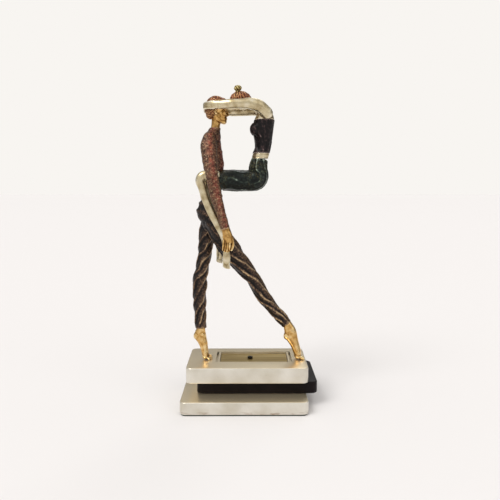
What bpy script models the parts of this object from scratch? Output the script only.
"""A cast dance-couple statuette on a three-tier plinth, in metres, +Z up.

The origin is the centre of the felt under the lowest tier. The man faces +X and stands on tiptoe,
the woman sits round his waist with her arms round his head. -Y is the side that is looked at.
Every cast section is its own object, and each butts against its neighbours with a fine seam and is
located by a cast tenon, a stud or a screw.
"""

import math

import bmesh
import bpy
from mathutils import Vector

MM = 0.001
SEAM = 0.3  # mm between two pieces that meet
OVERRUN = 2.0  # mm that a cutter runs past what it cuts

# Plinth tiers, in mm: (centre x, centre y), (length, depth), (underside z, upper side z)
CORNER_RADIUS = 7.0
EDGE_BEVEL = 0.8
FELT_THICKNESS = 1.0
BOTTOM_TIER = ((0.0, 0.0), (139.6, 88.6), (1.3, 15.1))
MIDDLE_TIER = ((14.4, 28.4), (135.4, 87.4), (15.4, 28.7))
TOP_TIER = ((3.2, 20.3), (136.2, 86.6), (29.0, 46.4))
DECK_TOP = TOP_TIER[2][1]

# The tray sunk in the top tier
TRAY_CENTRE = (11.0, 26.0)
TRAY_SIZE = (88.0, 45.6)
TRAY_DEPTH = 4.0
TRAY_GROOVE = (2.2, 0.6)  # at the ends and along the long sides
FRAME_WIDTH = (2.4, 1.0)
FRAME_HEIGHT = 3.3
PANEL_HEIGHT = 1.4

# Fasteners
CLAMP_AT = (6.7, 26.0)
CLAMP_RADIUS = 1.5
CLAMP_HEAD_RADIUS = 3.0
CLAMP_HEAD_HEIGHT = 2.0
STUD_RADIUS = 1.5
NUT_RADIUS = 3.1
NUT_HEIGHT = 2.4
WASHER_RADIUS = 3.4
WASHER_HEIGHT = 0.6
POCKET_RADIUS = 5.0  # counterbores that the nuts sit in
CLAMP_POCKET_Z = 8.5
FOOT_POCKET_Z = 38.4

# The figures
UP, DOWN = (0, 0, 1), (0, 0, -1)
MID_Y = 17.0  # depth of the plane that the man's head and spine lie in
FAR_REACH = -10.0  # mm that the far hand lies further back than the near one
SWING_FROM_Z, SWING_TO_Z = 262.0, 205.0
FAR_ARM_DROP = -3.0  # mm that her far arm lies lower than her near one

FINISHES = {  # name: (colour, metallic, roughness)
    "silver_patina": ((0.72, 0.69, 0.60), 0.9, 0.35),
    "brown_patina": ((0.06, 0.04, 0.035), 0.6, 0.45),
    "gold_patina": ((0.62, 0.43, 0.17), 0.95, 0.25),
    "red_brown_patina": ((0.22, 0.10, 0.07), 0.8, 0.45),
    "green_patina": ((0.02, 0.035, 0.028), 0.6, 0.4),
    "bronze_panel": ((0.30, 0.23, 0.12), 0.9, 0.4),
    "steel": ((0.45, 0.45, 0.45), 1.0, 0.35),
    "dark_steel": ((0.05, 0.05, 0.05), 0.9, 0.4),
    "felt": ((0.03, 0.06, 0.04), 0.0, 0.95),
}


def finish(name):
    """The Blender material of one of the finishes, made once."""
    if name in bpy.data.materials:
        return bpy.data.materials[name]
    colour, metallic, roughness = FINISHES[name]
    material = bpy.data.materials.new(name)
    material.use_nodes = True
    shader = material.node_tree.nodes["Principled BSDF"]
    shader.inputs["Base Color"].default_value = (*colour, 1.0)
    shader.inputs["Metallic"].default_value = metallic
    shader.inputs["Roughness"].default_value = roughness
    return material


def add_object(name, mesh_builder, finish_name, origin=(0, 0, 0)):
    """Links an object whose mesh is the bmesh given, in mm about origin, which is in mm too."""
    bmesh.ops.recalc_face_normals(mesh_builder, faces=mesh_builder.faces)
    bmesh.ops.scale(mesh_builder, vec=(MM, MM, MM), verts=mesh_builder.verts)
    mesh = bpy.data.meshes.new(name)
    mesh_builder.to_mesh(mesh)
    mesh_builder.free()
    mesh.shade_smooth()
    mesh.set_sharp_from_angle(angle=math.radians(40))
    mesh.materials.append(finish(finish_name))
    piece = bpy.data.objects.new(name, mesh)
    piece.location = Vector(origin) * MM
    bpy.context.scene.collection.objects.link(piece)
    return piece


def as_cutter(piece):
    """Marks an object as a tool that only shapes others."""
    piece.hide_render = True
    piece.display_type = "WIRE"
    return piece


def combine(piece, other, operation="DIFFERENCE"):
    """Cuts other from piece, or joins it on."""
    modifier = piece.modifiers.new(f"{operation.lower()}_{other.name}", "BOOLEAN")
    modifier.operation = operation
    modifier.object = as_cutter(other)


def cylinder(name, start, end, radius, finish_name, sides=20):
    """A round bar from start to end, in mm."""
    start, end = Vector(start), Vector(end)
    shape = bmesh.new()
    bmesh.ops.create_cone(
        shape, cap_ends=True, segments=sides, radius1=radius, radius2=radius, depth=(end - start).length
    )
    turn = (end - start).to_track_quat("Z", "Y").to_matrix()
    bmesh.ops.rotate(shape, cent=(0, 0, 0), matrix=turn, verts=shape.verts)
    return add_object(name, shape, finish_name, (start + end) / 2)


def ring_of(name, at, inner, outer, z_low, z_high, finish_name, sides=24, outer_sides=None):
    """A flat ring about a vertical axis: a washer or, with six outer sides, a nut."""
    piece = cylinder(name, (*at, z_low), (*at, z_high), outer, finish_name, outer_sides or sides)
    low, high = (*at, z_low - OVERRUN), (*at, z_high + OVERRUN)
    combine(piece, cylinder(f"{name}_hole", low, high, inner, finish_name, sides))
    return piece


def rounded_block(name, centre, size, z_range, radius, finish_name, bevel=0.0, corner_steps=6):
    """A flat block with round corners in plan, and its upper and lower edges eased if bevel is given."""
    half_x, half_y = size[0] / 2, size[1] / 2
    shape = bmesh.new()
    outline = []
    for corner, (sx, sy) in enumerate(((1, 1), (-1, 1), (-1, -1), (1, -1))):
        for step in range(corner_steps + 1):
            angle = math.radians(90 * (corner + step / corner_steps))
            x = sx * (half_x - radius) + radius * math.cos(angle)
            y = sy * (half_y - radius) + radius * math.sin(angle)
            outline.append(shape.verts.new((x, y, 0)))
    base = shape.faces.new(outline)
    raised = bmesh.ops.extrude_face_region(shape, geom=[base])["geom"]
    top = [v for v in raised if isinstance(v, bmesh.types.BMVert)]
    bmesh.ops.translate(shape, vec=(0, 0, z_range[1] - z_range[0]), verts=top)
    piece = add_object(name, shape, finish_name, (*centre, z_range[0]))
    if bevel:
        ease = piece.modifiers.new("eased_edges", "BEVEL")
        ease.width = bevel * MM
        ease.segments = 2
        ease.limit_method = "ANGLE"
        ease.angle_limit = math.radians(60)
    return piece


def curve_value(a, b, c, d, t):
    """The value at t from b to c of the smooth curve whose neighbouring values are a and d."""
    slope, bend, twist = c - a, 2 * a - 5 * b + 4 * c - d, 3 * b - a - 3 * c + d
    return 0.5 * (2 * b + slope * t + bend * t**2 + twist * t**3)


def smooth_stations(stations, steps):
    """Stations along a smooth curve through those given, with steps to each span."""
    spread = []
    last = len(stations) - 1
    for index in range(last):
        around = [stations[min(max(index + shift, 0), last)] for shift in (-1, 0, 1, 2)]
        for step in range(steps):
            spread.append([curve_value(*values, step / steps) for values in zip(*around)])
    spread.append(list(stations[last]))
    return spread


def dome_sections(centre, tangent, width, depth, way):
    """Two ever smaller sections beyond an end section, way being -1 before it and 1 after it."""
    beyond = []
    for angle in (math.radians(30), math.radians(60)):
        middle = centre + tangent * way * min(width, depth) * math.sin(angle)
        beyond.append((middle, tangent, width * math.cos(angle), depth * math.cos(angle)))
    return beyond


def loft(name, stations, finish_name, across=(0, 1, 0), sides=12, steps=2, domes=(False, False),
         ends=(None, None), level=None, grow=0.0):
    """A closed limb through stations (x, y, z, half width, half depth), in mm.

    The half depth is measured along across, the half width at right angles to it and to the limb.
    domes rounds the first and last end. Every section is square to the limb, unless level gives one
    direction for all of them or ends gives one for the first or last. grow makes the whole limb that
    much fatter and longer, which a neighbour's seam is cut with.
    """
    spread = smooth_stations(stations, steps)
    centres = [Vector(s[:3]) for s in spread]
    tangents = []
    for index in range(len(centres)):
        ahead, behind = centres[min(index + 1, len(centres) - 1)], centres[max(index - 1, 0)]
        tangents.append((ahead - behind).normalized())
    if level:
        tangents = [Vector(level)] * len(centres)
    for index, direction in ((0, ends[0]), (-1, ends[1])):
        if direction:
            tangents[index] = Vector(direction).normalized()
    sections = [(c, t, s[3] + grow, s[4] + grow) for c, t, s in zip(centres, tangents, spread)]
    sections[0] = (centres[0] - tangents[0] * grow, *sections[0][1:])
    sections[-1] = (centres[-1] + tangents[-1] * grow, *sections[-1][1:])
    if domes[0]:
        sections = dome_sections(*sections[0], -1)[::-1] + sections
    if domes[1]:
        sections += dome_sections(*sections[-1], 1)
    origin = centres[0]
    shape = bmesh.new()
    rings = []
    for centre, tangent, width, depth in sections:
        side = Vector(across)
        side = (side - tangent * side.dot(tangent)).normalized()
        other = tangent.cross(side)
        ring = []
        for step in range(sides):
            angle = 2 * math.pi * step / sides
            offset = other * width * math.cos(angle) + side * depth * math.sin(angle)
            ring.append(shape.verts.new(centre - origin + offset))
        rings.append(ring)
    for lower, upper in zip(rings, rings[1:]):
        for step in range(sides):
            after = (step + 1) % sides
            shape.faces.new((lower[step], lower[after], upper[after], upper[step]))
    shape.faces.new(rings[0][::-1])
    shape.faces.new(rings[-1])
    return add_object(name, shape, finish_name, origin)


def casting_and_seam(name, stations, finish_name, **shape):
    """A lofted casting, and the slightly larger cutter that clears a seam for it in its neighbours."""
    casting = loft(name, stations, finish_name, **shape)
    return casting, as_cutter(loft(f"{name}_seam", stations, finish_name, **shape, grow=SEAM))


def tenon(name, owner, socket, point, direction, radius, length, sides=12):
    """A cast tenon, centred on point along direction, that owner carries into a socket in its neighbour."""
    point, direction = Vector(point), Vector(direction).normalized()
    reach = direction * (length / 2)
    deep_end = point + reach + direction * SEAM
    combine(socket, cylinder(f"{name}_socket", point - reach * 1.5, deep_end, radius + SEAM, "steel", sides))
    combine(owner, cylinder(f"{name}_tenon", point - reach, point + reach, radius, "steel", sides), "UNION")


def half_space(name, point, normal, reach=60.0):
    """A big block that fills everything beyond a plane."""
    point, normal = Vector(point), Vector(normal).normalized()
    return cylinder(name, point, point + normal * reach, reach, "steel", 8)


def far_side(stations):
    """The stations of the far limb: mirrored in depth, and swung back below the elbow and the knee."""
    swung = []
    for x, y, z, width, depth in stations:
        fall = min(max((SWING_FROM_Z - z) / (SWING_FROM_Z - SWING_TO_Z), 0.0), 1.0)
        swung.append((x + FAR_REACH * fall**1.5, 2 * MID_Y - y, z, width, depth))
    return swung


# --------------------------------------------------------------------------------------- the plinth
def plinth():
    """The three solid tiers, the sunk tray, the clamp screw that holds them together, and the felt."""
    felt_centre, felt_size, _ = BOTTOM_TIER
    felt_size = tuple(side - 3.0 for side in felt_size)
    rounded_block("felt_pad", felt_centre, felt_size, (0.0, FELT_THICKNESS), CORNER_RADIUS - 1.5, "felt")

    bottom = rounded_block("plinth_bottom_tier", *BOTTOM_TIER, CORNER_RADIUS, "silver_patina", EDGE_BEVEL)
    middle = rounded_block("plinth_middle_tier", *MIDDLE_TIER, CORNER_RADIUS, "brown_patina", EDGE_BEVEL)
    top = rounded_block("plinth_top_tier", *TOP_TIER, CORNER_RADIUS, "silver_patina", EDGE_BEVEL)

    tray_floor = DECK_TOP - TRAY_DEPTH
    above = DECK_TOP + OVERRUN
    tray = rounded_block("tray_cutter", TRAY_CENTRE, TRAY_SIZE, (tray_floor, above), 3.0, "silver_patina")
    combine(top, tray)
    frame_size = tuple(side - 2 * groove for side, groove in zip(TRAY_SIZE, TRAY_GROOVE))
    window_size = tuple(side - 2 * width for side, width in zip(frame_size, FRAME_WIDTH))
    panel_size = tuple(side - 2 * SEAM for side in window_size)
    low = tray_floor + SEAM
    frame_z, window_z, panel_z = (low, low + FRAME_HEIGHT), (low - OVERRUN, above), (low, low + PANEL_HEIGHT)
    frame = rounded_block("tray_frame", TRAY_CENTRE, frame_size, frame_z, 2.5, "silver_patina", 0.5)
    combine(frame, rounded_block("tray_window", TRAY_CENTRE, window_size, window_z, 1.0, "silver_patina"))
    panel = rounded_block("tray_panel", TRAY_CENTRE, panel_size, panel_z, 0.8, "bronze_panel", 0.3)

    def upright(name, z_low, z_high, radius, sides=20):
        """A bar on the clamp screw's axis."""
        return cylinder(name, (*CLAMP_AT, z_low), (*CLAMP_AT, z_high), radius, "dark_steel", sides)

    head_low = panel_z[1] + SEAM
    nut_high = CLAMP_POCKET_Z - WASHER_HEIGHT - 2 * SEAM
    shank_low = nut_high - NUT_HEIGHT - 1.5
    screw = upright("clamp_screw", head_low, head_low + CLAMP_HEAD_HEIGHT, CLAMP_HEAD_RADIUS)
    combine(screw, upright("clamp_shank", shank_low, head_low + 1.0, CLAMP_RADIUS, 16), "UNION")
    combine(screw, upright("clamp_hex_socket", head_low + 0.8, head_low + 4.0, 1.25, 6))
    hole = upright("clamp_hole", shank_low - OVERRUN, DECK_TOP, CLAMP_RADIUS + SEAM, 16)
    for body in (bottom, middle, top, panel):
        combine(body, hole)
    combine(bottom, upright("clamp_pocket", -OVERRUN, CLAMP_POCKET_Z, POCKET_RADIUS))
    bore = CLAMP_RADIUS + SEAM
    washer_low, nut_low = nut_high + SEAM, nut_high - NUT_HEIGHT
    ring_of("clamp_washer", CLAMP_AT, bore, WASHER_RADIUS, washer_low, washer_low + WASHER_HEIGHT, "steel")
    ring_of("clamp_nut", CLAMP_AT, bore, NUT_RADIUS, nut_low, nut_high, "steel", outer_sides=6)
    return top


def foot_fixing(side, at, top_tier, foot):
    """The stud, washer and nut that hold one foot down on the top tier."""
    washer_high = FOOT_POCKET_Z - SEAM
    washer_low = washer_high - WASHER_HEIGHT
    nut_high = washer_low - SEAM
    nut_low = nut_high - NUT_HEIGHT
    stud_low, stud_high = nut_low - 1.0, DECK_TOP + 6.0
    bore = STUD_RADIUS + SEAM
    cylinder(f"{side}_foot_stud", (*at, stud_low), (*at, stud_high), STUD_RADIUS, "steel", 12)
    drill_low, drill_high = stud_low - OVERRUN, stud_high + SEAM
    drill = cylinder(f"{side}_foot_drill", (*at, drill_low), (*at, drill_high), bore, "steel", 12)
    combine(top_tier, drill)
    combine(foot, drill)
    pocket_mouth, pocket_end = (*at, TOP_TIER[2][0] - OVERRUN), (*at, FOOT_POCKET_Z)
    combine(top_tier, cylinder(f"{side}_foot_pocket", pocket_mouth, pocket_end, POCKET_RADIUS, "steel", 16))
    ring_of(f"{side}_foot_washer", at, bore, WASHER_RADIUS, washer_low, washer_high, "steel", 16)
    ring_of(f"{side}_foot_nut", at, bore, NUT_RADIUS, nut_low, nut_high, "steel", 12, 6)


# ------------------------------------------------------------------------------------------ the man
PELVIS = [
    (-34.5, 17, 246.0, 9.0, 10.0),
    (-35.5, 17, 238.0, 9.8, 11.0),
    (-37.5, 17, 228.0, 13.5, 13.0),
    (-38.3, 17, 219.0, 16.0, 14.2),
    (-37.5, 17, 211.0, 15.8, 14.0),
    (-36.0, 17, 206.0, 13.0, 12.0),
]
FRONT_LEG = [
    (-33.0, 11.0, 208.0, 12.6, 11.4),
    (-24.5, 11.0, 188.0, 11.8, 11.2),
    (-15.5, 11.5, 174.5, 11.3, 11.0),
    (-6.5, 12.0, 162.0, 10.8, 10.4),
    (4.5, 13.0, 148.5, 8.8, 8.8),
    (11.3, 13.4, 139.2, 7.9, 8.0),
    (20.3, 14.0, 123.5, 8.3, 8.2),
    (33.0, 14.6, 106.3, 6.7, 6.8),
    (43.4, 15.0, 94.5, 6.6, 6.6),
    (48.9, 15.0, 88.0, 6.2, 6.4),
]
REAR_LEG = [
    (-40.5, 24.0, 209.0, 9.0, 8.4),
    (-43.0, 24.0, 197.0, 8.4, 8.6),
    (-44.2, 24.0, 183.5, 8.8, 8.8),
    (-46.7, 23.0, 163.4, 7.6, 8.2),
    (-48.7, 22.0, 152.8, 7.6, 7.8),
    (-51.4, 21.0, 141.0, 8.2, 8.0),
    (-52.0, 20.5, 133.0, 8.5, 8.0),
    (-51.8, 19.5, 122.0, 7.8, 7.6),
    (-51.6, 18.0, 108.0, 7.1, 7.0),
    (-51.0, 16.5, 95.0, 6.6, 6.6),
    (-50.3, 15.5, 83.3, 6.8, 6.6),
]
FRONT_FOOT = [
    (49.5, 15.0, 87.3, 4.8, 4.6),
    (52.6, 15.0, 80.5, 7.0, 4.8),
    (53.9, 15.0, 74.0, 7.4, 4.8),
    (57.6, 15.0, 66.5, 5.4, 4.8),
    (60.4, 15.0, 59.0, 4.5, 5.4),
    (62.0, 15.0, 53.5, 4.3, 6.2),
    (63.6, 15.0, 50.4, 3.6, 6.4),
    (66.8, 15.0, 49.2, 2.4, 5.6),
]
REAR_FOOT = [
    (-50.2, 15.4, 82.8, 4.6, 4.6),
    (-51.4, 15.4, 77.5, 6.8, 4.8),
    (-51.0, 15.2, 72.5, 7.2, 4.8),
    (-47.6, 15.0, 65.5, 4.9, 4.8),
    (-45.9, 15.0, 58.5, 3.6, 5.4),
    (-45.4, 15.0, 53.5, 4.2, 6.2),
    (-43.8, 15.0, 50.4, 3.6, 6.4),
    (-39.8, 15.0, 49.2, 2.4, 5.6),
]
TORSO = [
    (-33.5, 17, 309.5, 6.6, 7.0),
    (-36.3, 17, 305.6, 9.4, 11.5),
    (-36.6, 17, 300.0, 10.3, 13.0),
    (-36.3, 17, 293.0, 10.2, 12.6),
    (-34.8, 17, 280.0, 10.8, 11.8),
    (-33.6, 17, 270.0, 10.8, 11.2),
    (-33.8, 17, 262.0, 9.8, 10.6),
    (-34.4, 17, 251.0, 9.1, 10.2),
    (-34.5, 17, 246.3, 9.0, 10.0),
]
NEAR_SLEEVE = [
    (-38.4, 3.5, 301.0, 6.8, 5.6),
    (-38.8, 0.5, 292.0, 8.7, 6.8),
    (-38.3, -3.0, 283.0, 8.4, 6.4),
    (-37.1, -7.0, 269.0, 7.6, 5.8),
    (-35.0, -9.8, 259.0, 7.0, 5.3),
    (-33.2, -10.4, 247.0, 7.1, 5.3),
    (-29.8, -10.9, 232.0, 6.5, 5.2),
    (-25.4, -11.0, 217.4, 5.1, 4.9),
    (-20.6, -11.4, 199.9, 5.0, 4.7),
]
NEAR_HAND = [
    (-20.5, -11.4, 199.6, 3.6, 3.3),
    (-19.4, -11.2, 193.5, 5.2, 4.2),
    (-18.0, -10.6, 186.5, 6.2, 5.0),
    (-17.7, -10.3, 180.5, 6.0, 5.0),
    (-18.3, -9.9, 176.5, 4.8, 4.5),
]
MAN_HEAD = [
    (-29.6, 17, 337.0, 11.0, 8.6),
    (-29.3, 17, 331.0, 11.6, 9.2),
    (-28.8, 17, 324.5, 10.2, 8.4),
    (-28.8, 17, 319.0, 7.8, 6.8),
    (-32.0, 17, 315.0, 5.2, 5.2),
    (-32.9, 17, 309.8, 5.2, 5.4),
]
MAN_HAIR = [
    (-30.8, 17, 339.2, 10.6, 9.2),
    (-31.4, 17, 335.5, 11.2, 9.8),
    (-33.0, 17, 330.5, 10.6, 10.0),
    (-37.4, 17, 327.0, 6.2, 8.6),
]
HAIRLINE_POINT = (-30.0, 17, 334.0)
HAIRLINE_NORMAL = (0.64, 0, -0.77)


def man():
    """The cast sections of the man and the tenons between them."""
    pelvis, hip_room = casting_and_seam("man_pelvis", PELVIS, "brown_patina", domes=(False, True), level=DOWN)
    front_ankle, rear_ankle = (0.56, 0, -0.83), DOWN
    hip_dome = (True, False)
    front_leg = loft("man_front_leg", FRONT_LEG, "brown_patina", domes=hip_dome, ends=(None, front_ankle))
    rear_leg = loft("man_rear_leg", REAR_LEG, "brown_patina", domes=hip_dome, ends=(None, rear_ankle))
    thigh_room = loft("thigh_seam", FRONT_LEG[:4], "brown_patina", domes=(True, False), grow=SEAM)
    combine(front_leg, hip_room)
    combine(rear_leg, hip_room)
    combine(rear_leg, thigh_room)
    foot_shape = {"domes": (False, True), "steps": 1}
    front_foot = loft("man_front_foot", FRONT_FOOT, "gold_patina", ends=(front_ankle, None), **foot_shape)
    rear_foot = loft("man_rear_foot", REAR_FOOT, "gold_patina", ends=(rear_ankle, None), **foot_shape)
    tenon("front_ankle", front_foot, front_leg, (49.3, 15, 87.6), (-0.56, 0, 0.83), 2.0, 11)
    tenon("rear_ankle", rear_foot, rear_leg, (-50.3, 15.4, 83), UP, 2.0, 11)
    tenon("front_hip", pelvis, front_leg, (-31.4, 13, 198), (0.38, 0, -0.92), 3.0, 22)
    tenon("rear_hip", pelvis, rear_leg, (-42.4, 25.5, 199), (-0.1, -0.05, -0.99), 2.5, 20)

    torso, torso_room = casting_and_seam("man_torso", TORSO, "red_brown_patina", sides=18, level=DOWN)
    tenon("waist", pelvis, torso, (-34.5, 17, 246.1), UP, 4.0, 20)
    arms = {}
    for side, sleeve_stations, hand_stations in (
        ("near", NEAR_SLEEVE, NEAR_HAND),
        ("far", far_side(NEAR_SLEEVE), far_side(NEAR_HAND)),
    ):
        wrist = Vector(sleeve_stations[-1][:3])
        along = (wrist - Vector(sleeve_stations[-2][:3])).normalized()
        sleeve = loft(
            f"man_{side}_sleeve", sleeve_stations, "red_brown_patina", domes=(True, False), ends=(None, along)
        )
        combine(sleeve, torso_room)
        hand_stations = [(*(wrist + along * SEAM), *hand_stations[0][3:])] + hand_stations[1:]
        hand = loft(
            f"man_{side}_hand", hand_stations, "gold_patina", domes=(False, True), ends=(along, None), steps=1
        )
        tenon(f"{side}_wrist", hand, sleeve, wrist, -along, 1.6, 10)
        out = -1 if side == "near" else 1
        tenon(f"{side}_shoulder", torso, sleeve, (-37.8, MID_Y + out * 12.5, 297), (0, out, 0), 2.5, 9)
        arms[side] = (sleeve, hand)

    head, head_room = casting_and_seam(
        "man_head", MAN_HEAD, "gold_patina", domes=(True, False), sides=16, level=DOWN
    )
    tenon("neck", head, torso, (-33, 17, 309.6), DOWN, 2.6, 14)
    hair = loft("man_hair", MAN_HAIR, "red_brown_patina", domes=(True, True), sides=16, level=DOWN)
    combine(hair, half_space("hairline_cutter", HAIRLINE_POINT, HAIRLINE_NORMAL))
    combine(hair, head_room)
    return front_foot, rear_foot, arms


# ---------------------------------------------------------------------------------------- the woman
def turned(pivot, y, radius, angles, width, depth):
    """Stations that turn a limb about an inner pivot (x, z), at angles in degrees."""
    return [
        (pivot[0] + r * math.cos(math.radians(a)), y, pivot[1] + r * math.sin(math.radians(a)), w, depth)
        for a, r, w in zip(angles, radius, width)
    ]


HIP_PIVOT = (4.6, 264.6)
SKIRT = [
    (-31.0, 17, 253.3, 10.8, 21.4),
    (-23.0, 17, 253.3, 11.8, 19.4),
    (-13.0, 17, 253.3, 12.2, 16.2),
    (-4.0, 17, 252.8, 11.9, 14.4),
    *turned(HIP_PIVOT, 17, (12.6, 13.4, 12.6, 11.1), (290, 315, 338, 360), (12.2, 12.4, 11.4, 10.7), 13.4),
    (16.4, 17, 270.5, 10.3, 12.4),
    (17.6, 17, 276.6, 9.3, 11.0),
]
BELT = [(17.7, 17, 277.2, 9.5, 11.2), (18.3, 17, 280.2, 9.3, 11.0), (19.0, 17, 283.4, 9.7, 11.2)]
BODICE = [
    (19.1, 17, 283.8, 9.8, 10.8),
    (21.1, 17, 290.5, 9.3, 10.4),
    (21.5, 17, 299.0, 10.2, 11.4),
    (20.1, 17, 306.4, 12.5, 12.8),
    (20.0, 17, 312.0, 13.2, 13.2),
    (21.4, 17, 316.5, 12.6, 13.0),
    (22.6, 17, 320.3, 11.7, 12.6),
]
SHOULDERS = [
    (22.6, 17, 320.6, 11.2, 12.2),
    (22.0, 17, 326.0, 9.8, 13.0),
    (18.6, 17, 331.0, 7.6, 11.0),
    (13.0, 17, 335.0, 4.8, 5.2),
    (8.6, 17, 337.4, 4.4, 4.6),
]
WOMAN_HEAD = [
    (8.3, 17, 337.6, 4.2, 4.4),
    (5.0, 17, 338.6, 5.6, 6.2),
    (0.0, 17, 339.2, 7.4, 7.8),
    (-6.0, 17, 339.2, 7.6, 8.0),
    (-10.0, 17, 339.2, 5.6, 6.2),
]
WOMAN_HAIR = [
    (5.0, 17, 343.6, 4.4, 6.0),
    (1.5, 17, 344.4, 7.0, 8.4),
    (-4.0, 17, 344.6, 8.1, 9.2),
    (-9.0, 17, 343.4, 7.4, 8.6),
    (-12.6, 17, 342.0, 4.6, 5.6),
]
HAIR_EDGE_Z = 341.0
BUN_CENTRE = (-7.1, 17, 355.9)
BUN_RADII = (4.7, 4.6, 3.7)
NEAR_ARM = [  # the half width is the arm's thickness here, and the half depth is upright
    (26.0, 6.2, 326.6, 5.6, 7.0),
    (20.5, 4.0, 331.6, 5.6, 6.9),
    (15.5, 1.8, 334.8, 5.4, 6.9),
    (6.0, -1.0, 336.3, 4.9, 6.4),
    (-6.0, -2.2, 336.0, 4.6, 5.1),
    (-18.0, -1.8, 335.6, 4.2, 5.4),
    (-30.0, 0.8, 334.8, 3.4, 5.3),
    (-38.0, 4.4, 335.0, 2.7, 4.4),
    (-43.2, 9.0, 335.8, 2.1, 3.6),
    (-44.9, 14.4, 336.0, 1.6, 3.1),
]
KNEE_PIVOT = (-41.6, 251.6)
NEAR_SHIN_Y = (0.9, -1.4, -5.0, -7.6, -9.6, -9.8, -9.6)
NEAR_LEG = [
    (-31.3, 1.0, 257.4, 6.2, 4.5),
    (-36.5, 1.0, 258.2, 6.2, 4.5),
    *turned(KNEE_PIVOT, 1.2, (6.6, 6.8, 6.6), (95, 135, 178), (6.0, 6.2, 5.9), 4.7),
    (-45.9, NEAR_SHIN_Y[0], 245.6, 5.6, 4.8),
    (-42.3, NEAR_SHIN_Y[1], 233.2, 5.2, 4.8),
    (-36.4, NEAR_SHIN_Y[2], 218.4, 4.9, 4.4),
    (-29.2, NEAR_SHIN_Y[3], 204.2, 4.3, 4.0),
    (-23.0, NEAR_SHIN_Y[4], 190.4, 3.3, 3.1),
    (-20.4, NEAR_SHIN_Y[5], 179.0, 3.4, 3.0),
    (-19.4, NEAR_SHIN_Y[6], 168.5, 4.3, 3.2),
    (-19.6, NEAR_SHIN_Y[6], 157.2, 3.5, 2.5),
]


def ellipsoid(name, centre, radii, finish_name, segments=16):
    """A ball squashed to three radii."""
    shape = bmesh.new()
    bmesh.ops.create_uvsphere(shape, u_segments=segments, v_segments=segments // 2, radius=1)
    bmesh.ops.scale(shape, vec=radii, verts=shape.verts)
    return add_object(name, shape, finish_name, centre)


def woman(arms):
    """The cast sections of the woman and the tenons between them."""
    skirt = loft("woman_skirt", SKIRT, "green_patina", ends=((1, 0, 0), UP), sides=18)
    for seam in ("man_torso_seam", "man_pelvis_seam"):
        combine(skirt, bpy.data.objects[seam])
    belt = loft("woman_belt", BELT, "silver_patina", sides=18, level=UP)
    bodice, bodice_room = casting_and_seam("woman_bodice", BODICE, "brown_patina", sides=18, level=UP)
    tenon("waistband", skirt, bodice, (18.4, 17, 280.2), (0.05, 0, 1), 4.0, 26)
    combine(belt, bpy.data.objects["waistband_socket"])
    neck_way = (-0.87, 0, 0.5)
    shoulders, shoulders_room = casting_and_seam(
        "woman_shoulders", SHOULDERS, "silver_patina", ends=(UP, neck_way), sides=16
    )
    tenon("neckline", shoulders, bodice, (22.4, 17, 320.4), DOWN, 4.0, 14)
    drop = FAR_ARM_DROP / (len(NEAR_ARM) - 1)
    far_arm = [(x, 2 * MID_Y - y, z + drop * i, w, d) for i, (x, y, z, w, d) in enumerate(NEAR_ARM)]
    for side, stations in (("near", NEAR_ARM), ("far", far_arm)):
        out = -1 if side == "near" else 1
        arm = loft(f"woman_{side}_arm", stations, "silver_patina", across=UP, domes=(True, True))
        combine(arm, shoulders_room)
        combine(arm, bodice_room)
        tenon(f"{side}_arm", arm, shoulders, (22, MID_Y + out * 11, 327.6), (0, -out, 0), 2.0, 9)

    head, head_room = casting_and_seam(
        "woman_head", WOMAN_HEAD, "silver_patina", domes=(False, True), ends=(neck_way, None), sides=16
    )
    tenon("woman_neck", head, shoulders, (8.45, 17, 337.5), (0.87, 0, -0.5), 2.0, 10)
    hair = loft("woman_hair", WOMAN_HAIR, "red_brown_patina", domes=(True, True), sides=16)
    combine(hair, head_room)
    combine(hair, shoulders_room)
    combine(hair, half_space("hair_edge_cutter", (0, MID_Y, HAIR_EDGE_Z), DOWN))
    bun = ellipsoid("woman_hair_bun", BUN_CENTRE, BUN_RADII, "red_brown_patina")
    combine(hair, ellipsoid("bun_seam", BUN_CENTRE, tuple(r + SEAM for r in BUN_RADII), "red_brown_patina"))
    tenon("bun", bun, hair, (-7.1, MID_Y, 352.8), DOWN, 2.0, 5)

    toe_dome = (False, True)
    for side, stations in (("near", NEAR_LEG), ("far", far_side(NEAR_LEG))):
        leg = loft(f"woman_{side}_leg", stations, "silver_patina", domes=toe_dome, ends=((-1, 0, 0), None))
        room = loft(f"{side}_leg_seam", stations[5:], "silver_patina", domes=toe_dome, grow=SEAM)
        for casting in arms[side]:
            combine(casting, room)
        tenon(f"{side}_thigh", leg, skirt, (-31.15, stations[0][1], 257), (1, 0, 0), 2.2, 12)


def build():
    """Clears the scene and makes the whole statuette."""
    for piece in list(bpy.data.objects):
        bpy.data.objects.remove(piece)
    top_tier = plinth()
    front_foot, rear_foot, arms = man()
    foot_fixing("front", (62.6, 15.0), top_tier, front_foot)
    foot_fixing("rear", (-45.2, 15.0), top_tier, rear_foot)
    woman(arms)


build()
